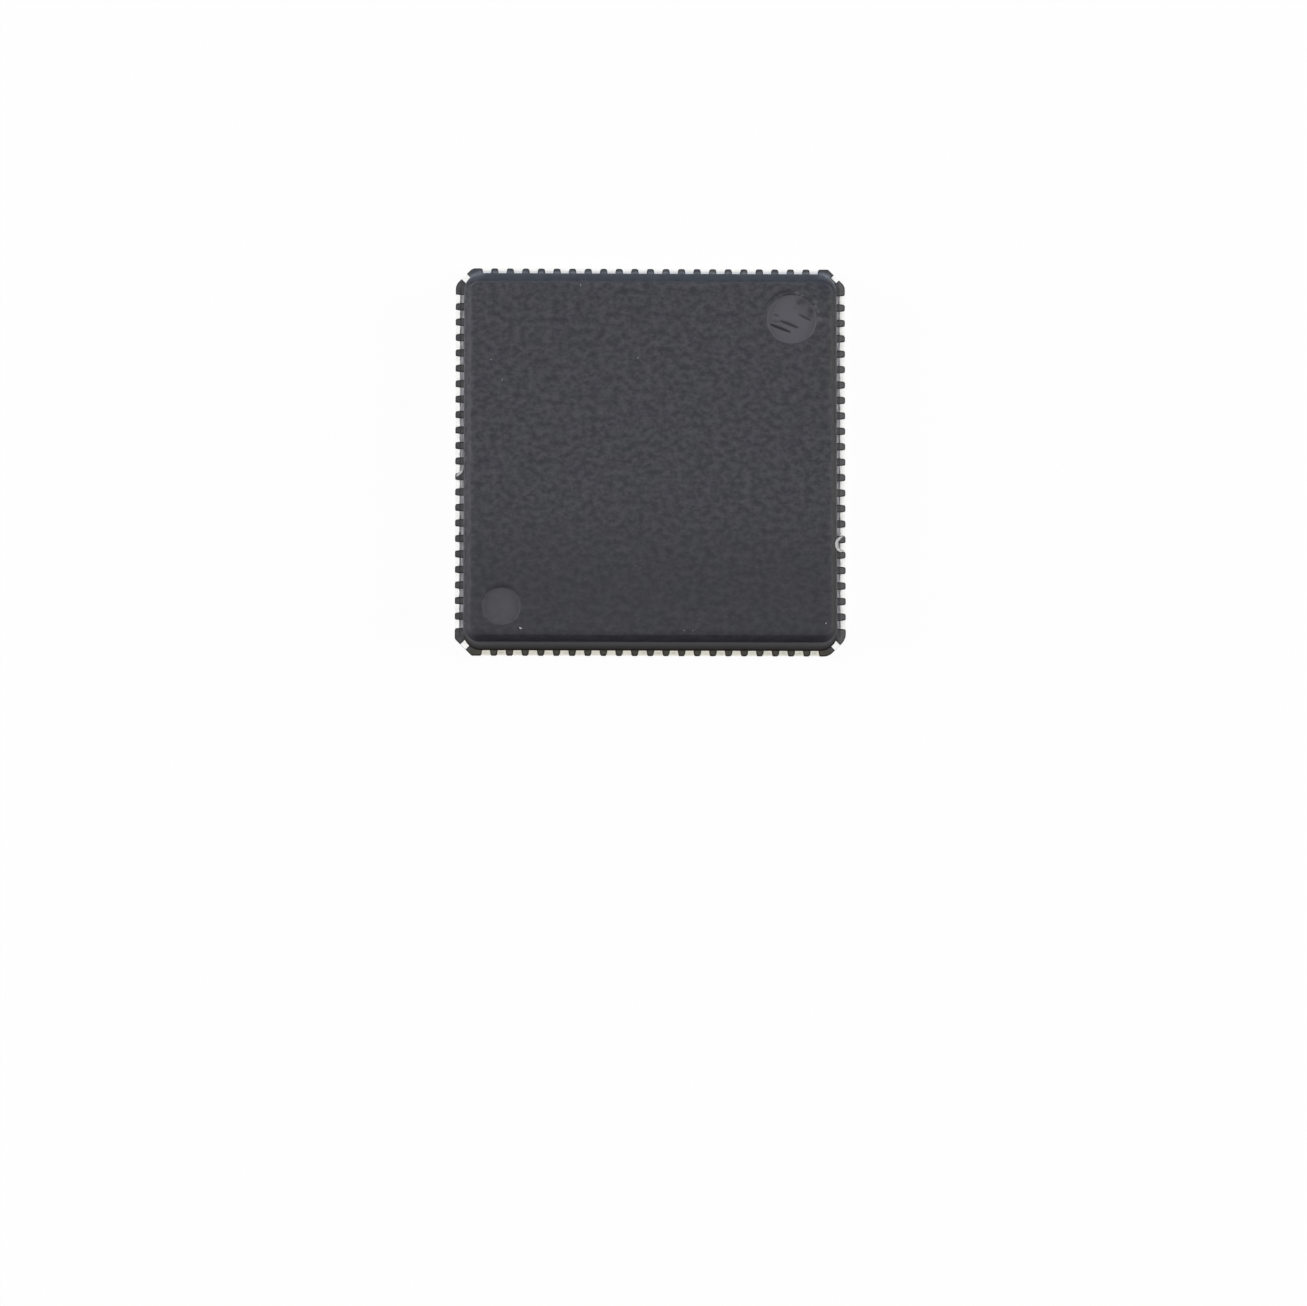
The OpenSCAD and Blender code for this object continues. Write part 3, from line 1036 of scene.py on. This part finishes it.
# Tin on the leads, which is creamier and darker at -Y: partly its own tint, partly painted shade
TIN_LIGHT = (0.97, 0.965, 0.955)
TIN_DARK = (0.80, 0.79, 0.77)
LEAD_TARNISH = 0.4
LEAD_TOP_Z = (FRAME_T - 0.03, FRAME_T - 0.01)
SOUTH_TIN_AND_SHADE = (0.60, 0.585, 0.46)
SOUTH_TIN_Y = (-4.96, -4.88, 0.6, 0.66)
SOUTH_END_Y = (-4.7, -4.8)
# Smudges at -Y, and painted cool shade at the inner ends of the leads at +Y beside the cap: middle and reach.
# Those at -Y lie in the middle of each lead, in pitches
SMUDGE_COLOR = (0.42, 0.41, 0.38)
SMUDGE_X = (0.5, 0.3)
SMUDGE_Y = (-4.94, 0.055)
NORTH_LEAD_SHADE_COLOR = (0.54, 0.56, 0.62)
NORTH_LEAD_SHADE_Y = (4.90, 0.07)
NORTH_LEAD_SHADE_SHARE = 0.75
# The resin on the leads: its streaky film, its dark line, and the dull tin outside it. Depths are inside its
# edge, and shares are at -X and +X
BLEED_COLORS = ((0.19, 0.186, 0.20), (0.36, 0.352, 0.37))
FILM_DEPTH = (-0.01, 0.01)
BLEED_LINE_COLOR = (0.07, 0.07, 0.075)
LINE_SHARES = (0.95, 0.8)
DULL_DEPTH = (-0.1, 0.0)
DULL_SHARES = (0.0, 0.4)
# A fleck of resin on a lead: middle and reach
FLECK_COLOR = (0.008, 0.008, 0.008)
FLECK_X = (-4.877, 0.045)
FLECK_Y = (-1.876, 0.085)


def tin(n, tarnish):
    """Bright tin with duller patches."""
    return n.mix(n.product(n.patches(8, 3, 0.5, 0.75), tarnish), TIN_LIGHT, TIN_DARK)


def smudged_tin(n, top):
    """The colour of the leads without resin, with painted shade at -Y and beside the cap at +Y, and smudges.
    """
    y = n.axis(1)
    south = n.product(top, n.range(y, *SOUTH_TIN_Y), n.range(y, *SOUTH_END_Y))
    color = n.mix(south, tin(n, LEAD_TARNISH), SOUTH_TIN_AND_SHADE)
    across = n.near(n.math("FRACT", n.math("DIVIDE", n.axis(0), LEAD_PITCH)), *SMUDGE_X)
    smudge = n.product(top, across, n.patches(2.3, 1, 0.35, 0.65, 0.15, 0.7), n.near(y, *SMUDGE_Y))
    color = n.mix(smudge, color, SMUDGE_COLOR)
    return n.mix(n.product(top, n.near(y, *NORTH_LEAD_SHADE_Y), NORTH_LEAD_SHADE_SHARE), color, NORTH_LEAD_SHADE_COLOR)


def lead_material():
    """Matt tin on copper, with smudges, and a film of resin beside the cap on the sides at -X and +X."""
    n = Nodes("tin_plate_leads")
    top = n.range(n.axis(2), *LEAD_TOP_Z)
    inside = bleed_depth(n)
    on_top = n.product(top, beside_cap(n))
    dull = n.product(on_top, n.range(inside, *DULL_DEPTH), by_side(n, *DULL_SHARES))
    color = n.mix(dull, smudged_tin(n, top), SMUDGE_COLOR)
    covered = n.product(on_top, n.range(inside, *FILM_DEPTH))
    streaks = n.patches(15, 1, 0.35, 0.65, stretch=(2.4, 0.2, 1))
    color = n.mix(covered, color, n.mix(streaks, *BLEED_COLORS))
    broken = n.patches(3.4, 1, 0.4, 0.6, 0.35, 1.0)
    line = n.product(on_top, n.near(inside, *BLEED_LINE), broken, by_side(n, *LINE_SHARES))
    color = n.mix(line, color, BLEED_LINE_COLOR)
    fleck = n.product(n.near(n.axis(0), *FLECK_X), n.near(n.axis(1), *FLECK_Y))
    color = n.mix(fleck, color, FLECK_COLOR)
    rough = n.patches(9, 3, 0.3, 0.7, 0.32, 0.5)
    normal = n.bumps((30, 2, 0.003, 0.5, (1, 1, 0.15)), (38, 2, 0.002, 0.5), base=n.bump(covered, 0.006, 0.7))
    return n.set(Base_Color=color, Metallic=1.0, Roughness=rough, Normal=normal)


# The tin on the bare pad
PAD_LIGHT = (0.86, 0.85, 0.77)
PAD_WARM = (0.76, 0.74, 0.64)
PAD_SPECK_COLOR = (0.22, 0.20, 0.16)
# The tie bars are whiter. Resin covers the end of the one at +X and +Y, between two sums of X and Y
BAR_TARNISH = 0.5
BAR_FILM_COLOR = (0.062, 0.064, 0.078)
BAR_FILM_START = (9.0, 9.1)
BAR_FILM_END = (9.45, 9.41)


def pad_tin(n, scratches):
    """The bare pad's colour, with scuffs, specks and fine scratches."""
    color = n.mix(n.patches(0.9, 4, 0.35, 0.7), PAD_LIGHT, PAD_WARM)
    color = n.mix(n.patches(3.2, 4, 0.6, 0.7, 0.0, 0.45, roughness=0.7), color, PAD_WARM)
    specks = n.product(n.specks(2.4, 0.13, 0.07), n.patches(1.7, 1, 0.5, 0.6))
    color = n.mix(specks, color, PAD_SPECK_COLOR)
    return n.mix(n.product(scratches, 0.3), color, PAD_WARM)


def paddle_material():
    """The bare pad's tin, creamy and satin, and the whiter tin of the tie bars."""
    n = Nodes("tin_plate_paddle")
    along_x = n.patches(5, 1, 0.62, 0.7, stretch=(0.12, 3.2, 1))
    along_y = n.patches(4, 1, 0.66, 0.73, stretch=(2.6, 0.15, 1))
    scratches = n.math("MAXIMUM", along_x, along_y)
    color = n.mix(n.range(n.axis(2), STANDOFF, FINGER_Z), pad_tin(n, scratches), tin(n, BAR_TARNISH))
    outwards = n.math("ADD", n.axis(0), n.axis(1))
    film = n.product(n.range(outwards, *BAR_FILM_START), n.range(outwards, *BAR_FILM_END))
    color = n.mix(film, color, BAR_FILM_COLOR)
    rough = n.patches(2.5, 4, 0.3, 0.7, 0.36, 0.56)
    normal = n.bump(scratches, 0.004, 0.6, n.bumps((22, 3, 0.003, 0.5)))
    return n.set(Base_Color=color, Metallic=1.0, Roughness=rough, Normal=normal)


# Pieces inside the moulding: two tones, features to a millimetre, roughness, metal or not, height of bumps
INNER_LOOKS = {
    "silver_adhesive_film": ((0.52, 0.52, 0.50), (0.40, 0.40, 0.38), 8, 0.5, 0.0, 0.002),
    "silicon_chip": ((0.13, 0.14, 0.17), (0.09, 0.10, 0.12), 3, 0.12, 0.0, 0.0005),
    "gold_wire_drawn": ((0.94, 0.72, 0.34), (0.86, 0.62, 0.26), 12, 0.18, 1.0, 0.0008),
}
# Starts of the names of the CAD nodes that keep their own shape, and their materials
INNER_NODES = {
    "die_attach_film": "silver_adhesive_film",
    "silicon_die": "silicon_chip",
    "ground_wires": "gold_wire_drawn",
    "wire_bank": "gold_wire_drawn",
}


def inner_material(name, light, dark, scale, rough, metallic, height):
    """A material with two tones, worn roughness and a fine bump."""
    n = Nodes(name)
    color = n.mix(n.patches(scale, 3, 0.35, 0.65), light, dark)
    worn = n.patches(scale * 1.7, 2, 0.3, 0.7, rough, rough + 0.15)
    normal = n.bumps((scale * 4, 2, height, 0.5))
    return n.set(Base_Color=color, Metallic=metallic, Roughness=worn, Normal=normal)


def dress_inner_nodes():
    """Gives the CAD nodes inside the moulding, which keep their own shape, their materials."""
    materials = {name: inner_material(name, *look) for name, look in INNER_LOOKS.items()}
    for name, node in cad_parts.items():
        for start, material in INNER_NODES.items():
            if name.startswith(start):
                node.data.materials.clear()
                node.data.materials.append(materials[material])


# Silica grains that lie bare on the marked face: middle, half length, half width, turn in degrees, paleness
BARE_GRAINS = (
    ((-3.327, -4.378), 0.060, 0.030, -32, 1.0),
    ((4.463, -4.237), 0.034, 0.026, 20, 0.45),
    ((-4.089, 2.526), 0.030, 0.022, 10, 0.4),
    ((-3.807, 2.011), 0.056, 0.018, 75, 0.3),
    ((-0.333, 2.592), 0.040, 0.018, 70, 0.4),
    ((0.839, -4.428), 0.044, 0.020, -25, 0.1),
    ((1.068, -4.428), 0.030, 0.020, 60, 0.1),
    ((-1.803, 4.455), 0.044, 0.020, 80, 0.2),
)
GRAIN_RISE = 0.006
GRAIN_STEPS = 14
# How much the outline of a grain swells from point to point
GRAIN_SWELL = (0.8, 1.1)
# Rings of a grain from its sunken base up: size beside its outline, and height
GRAIN_RINGS = ((0.8, -0.012), (1, 0), (0.7, GRAIN_RISE * 0.7), (0.3, GRAIN_RISE))
# Colours of the darkest and the palest grains, and of the mottle in them
GRAIN_SHADES = ((0.07, 0.07, 0.078), (0.62, 0.62, 0.62))
GRAIN_MOTTLE = (0.10, 0.10, 0.11)


def grain_outline(long_r, short_r, turn, rng):
    """An uneven oval round the origin, turned by an angle."""
    outline = []
    for step in range(GRAIN_STEPS):
        a = math.tau * step / GRAIN_STEPS
        swell = rng.uniform(*GRAIN_SWELL)
        u, v = long_r * swell * math.cos(a), short_r * swell * math.sin(a)
        outline.append((u * math.cos(turn) - v * math.sin(turn), u * math.sin(turn) + v * math.cos(turn)))
    return outline


def make_grains(material):
    """Flat domes of bare filler, sunk into the marked face."""
    shell = Shell()
    rng = random.Random(GRAIN_SEED)
    for (x, y), long_r, short_r, turn, pale in BARE_GRAINS:
        outline = grain_outline(long_r, short_r, math.radians(turn), rng)
        z = min(face_height(x, y), FACE_Z - GRAIN_RISE)
        rings = [shell.ring([(x + px * s, y + py * s) for px, py in outline], z + h) for s, h in GRAIN_RINGS]
        shell.stack(*rings)
        shell.paint("pale", sum(rings, []), pale)
    make_piece("bare_filler_grains", shell, None, material, "moulding_compound")


def grain_material():
    """Bare silica, dull and grey."""
    n = Nodes("bare_silica_grain")
    color = n.mix(n.mask("pale"), *GRAIN_SHADES)
    color = n.mix(n.product(n.noise(20, 2), 0.5), color, GRAIN_MOTTLE)
    return n.set(Base_Color=color, Roughness=0.5, Normal=n.bumps((45, 2, 0.002, 0.5)))


# Slivers of tin smeared over a tooth by the punch: a line of points, each with a half width
BURRS = (
    (((4.943, -1.896), 0.018), ((4.861, -1.953), 0.034), ((4.784, -2.034), 0.050), ((4.768, -2.119), 0.056),
     ((4.778, -2.196), 0.054), ((4.819, -2.263), 0.050), ((4.890, -2.291), 0.042), ((4.947, -2.283), 0.018)),
    (((-4.795, -0.245), 0.018), ((-4.850, -0.285), 0.040), ((-4.910, -0.335), 0.048),
     ((-4.970, -0.390), 0.024)),
)
BURR_RISE = 0.012
# A burr starts to rise over the cap's foot this far outside it
BURR_LEAD_IN = 0.04
# Its section between two edges under its base: places in half widths, and their shares of its height
BURR_CROWN = ((-0.8, 0.9), (0, 1), (0.8, 0.9))
BURR_EDGE_Z = -0.01
BURR_TONES = ((0.62, 0.62, 0.63), (0.46, 0.46, 0.47))


def burr_base(x):
    """Height that a burr lies at, by its place along X: on the leads, or up on the slope of the foot."""
    inward = HALF_BODY - LEDGE_X - abs(x)
    step = FOOT_STEP * min(max(1 + inward / BURR_LEAD_IN, 0), 1)
    slope = (FOOT_HEIGHT - FOOT_STEP) * min(max(inward / FOOT_RUN_X, 0), 1)
    return FRAME_T + step + slope


def burr_shell(shell, line):
    """A low flat ridge of metal along a line, a little higher in its middle."""
    rings = []
    count = len(line)
    for i, ((x, y), half_width) in enumerate(line):
        before, after = line[max(i - 1, 0)][0], line[min(i + 1, count - 1)][0]
        way = (Vector(after) - Vector(before)).normalized()
        across = Vector((-way.y, way.x)) * half_width
        rise = BURR_RISE * (0.4 + 0.6 * math.sin(math.pi * (i + 0.6) / (count + 0.2)))
        section = [(-1, BURR_EDGE_Z), *((s, share * rise) for s, share in BURR_CROWN), (1, BURR_EDGE_Z)]
        points = [(x + across.x * s, y + across.y * s, h) for s, h in section]
        rings.append(shell.add([(px, py, burr_base(px) + h) for px, py, h in points]))
    shell.bands(*rings)
    shell.faces += [tuple(rings[0]), tuple(reversed(rings[-1]))]


def make_burrs(material):
    """The slivers of tin, as one piece."""
    shell = Shell()
    for line in BURRS:
        burr_shell(shell, line)
    make_piece("punch_burrs", shell, None, material, "tin_plated_leads")


def burr_material():
    """Tin that the punch has dulled."""
    n = Nodes("tin_burr")
    color = n.mix(n.patches(14, 3, 0.35, 0.7), *BURR_TONES)
    return n.set(Base_Color=color, Metallic=1.0, Roughness=0.5, Normal=n.bumps((30, 2, 0.003, 0.5)))


# The floor that the camera sees is white, apart from the share of the object's shadow that is kept
FLOOR_SIZE = 2.0
FLOOR_COLOR = (0.35, 0.35, 0.35)
WHITE = (1.0, 1.0, 1.0)
SHADOW_SHARE = 0.08
WORLD_FILL = 0.1
SEEN_RAYS = ("Is Camera Ray", "Is Glossy Ray", "Is Transmission Ray")


def seen_share(tree):
    """1 for rays that show the background to the camera, straight or in metal or glass, 0 for others."""
    path = tree.nodes.new("ShaderNodeLightPath")
    total = path.outputs[SEEN_RAYS[0]]
    for ray in SEEN_RAYS[1:]:
        node = tree.nodes.new("ShaderNodeMath")
        node.operation = "MAXIMUM"
        tree.links.new(total, node.inputs[0])
        tree.links.new(path.outputs[ray], node.inputs[1])
        total = node.outputs[0]
    return total


def floor_material():
    """Pale and matt, and white to the camera except for the object's faint shadow."""
    n = Nodes("studio_floor")
    seen = seen_share(n.tree)
    n.set(Base_Color=n.mix(seen, FLOOR_COLOR, WHITE), Roughness=0.9, Specular_IOR_Level=0.0)
    glow = n.tree.nodes.new("ShaderNodeEmission")
    glow.inputs["Strength"].default_value = 1.0
    blend = n.tree.nodes.new("ShaderNodeMixShader")
    n.link(n.product(seen, 1 - SHADOW_SHARE), blend.inputs[0])
    n.link(n.shader.outputs[0], blend.inputs[1])
    n.link(glow.outputs[0], blend.inputs[2])
    n.link(blend.outputs[0], n.tree.nodes["Material Output"].inputs["Surface"])
    return n.material


def make_floor():
    """A square floor that the part lies on."""
    half = FLOOR_SIZE / 2 / MM
    corners = [(*turned((-half, -half), side), 0) for side in range(4)]
    floor = make_object("studio_floor", corners, [(0, 1, 2, 3)], smooth=False)
    floor.data.materials.append(floor_material())


def make_world():
    """White to the camera and in reflections, and a soft fill for matt surfaces."""
    world = bpy.data.worlds.new("studio")
    bpy.context.scene.world = world
    world.use_nodes = True
    tree = world.node_tree
    background = tree.nodes["Background"]
    background.inputs["Color"].default_value = (*WHITE, 1)
    strength = tree.nodes.new("ShaderNodeMapRange")
    tree.links.new(seen_share(tree), strength.inputs["Value"])
    strength.inputs["To Min"].default_value = WORLD_FILL
    strength.inputs["To Max"].default_value = 1.0
    tree.links.new(strength.outputs["Result"], background.inputs["Strength"])


# Each lamp: place, side of the square, power in watts, and colour
LAMPS = {
    "top_softbox": ((0.0, -0.02, 0.32), 0.20, 0.52, (1.0, 1.0, 1.0)),
    "west_softbox": ((-0.27, 0.03, 0.06), 0.11, 0.62, (1.0, 0.99, 1.0)),
    "east_softbox": ((0.27, 0.03, 0.06), 0.11, 0.60, (1.0, 1.0, 0.99)),
    "north_softbox": ((0.0, 0.27, 0.05), 0.09, 0.16, (0.60, 0.80, 1.0)),
}


def make_lamps():
    """Soft lamps above and on three sides. Metal shows the white surroundings instead of them."""
    for name, (place, size, power, color) in LAMPS.items():
        data = bpy.data.lights.new(name, "AREA")
        data.size, data.energy, data.color = size, power, color
        lamp = bpy.data.objects.new(name, data)
        bpy.context.scene.collection.objects.link(lamp)
        lamp.location = place
        lamp.rotation_mode = "QUATERNION"
        lamp.rotation_quaternion = (-Vector(place)).to_track_quat("-Z", "Y")
        lamp.visible_glossy = False


# The camera leans from upright towards -Y and a little towards -X, and looks at the middle of the photograph
CAMERA_DISTANCE = 0.18
CAMERA_LEAN_Y = math.radians(6.4)
CAMERA_LEAN_X = math.radians(1.3)
AIM = Vector((0.079, -4.937, FRAME_T)) * MM
SENSOR_WIDTH = 36.0
VIEW_WIDTH = 33.40


def make_camera():
    """The photograph's camera, with its sides level along X."""
    data = bpy.data.cameras.new("photo_camera")
    data.sensor_width = SENSOR_WIDTH
    data.lens = SENSOR_WIDTH * CAMERA_DISTANCE / (VIEW_WIDTH * MM)
    data.clip_start, data.clip_end = 0.01, 10
    camera = bpy.data.objects.new("photo_camera", data)
    bpy.context.scene.collection.objects.link(camera)
    back = Vector((-math.tan(CAMERA_LEAN_X), -math.tan(CAMERA_LEAN_Y), 1)).normalized()
    right = (-back).cross(Vector((0, 1, 0))).normalized()
    up = back.cross(right)
    turn = Matrix((right, up, back)).transposed()
    camera.matrix_world = Matrix.Translation(AIM + back * CAMERA_DISTANCE) @ turn.to_4x4()
    bpy.context.scene.camera = camera


make_mould(mould_material())
make_leads(lead_material())
make_paddle(paddle_material())
make_grains(grain_material())
make_burrs(burr_material())
dress_inner_nodes()
make_floor()
make_world()
make_lamps()
make_camera()
bpy.context.scene.view_settings.view_transform = "Standard"
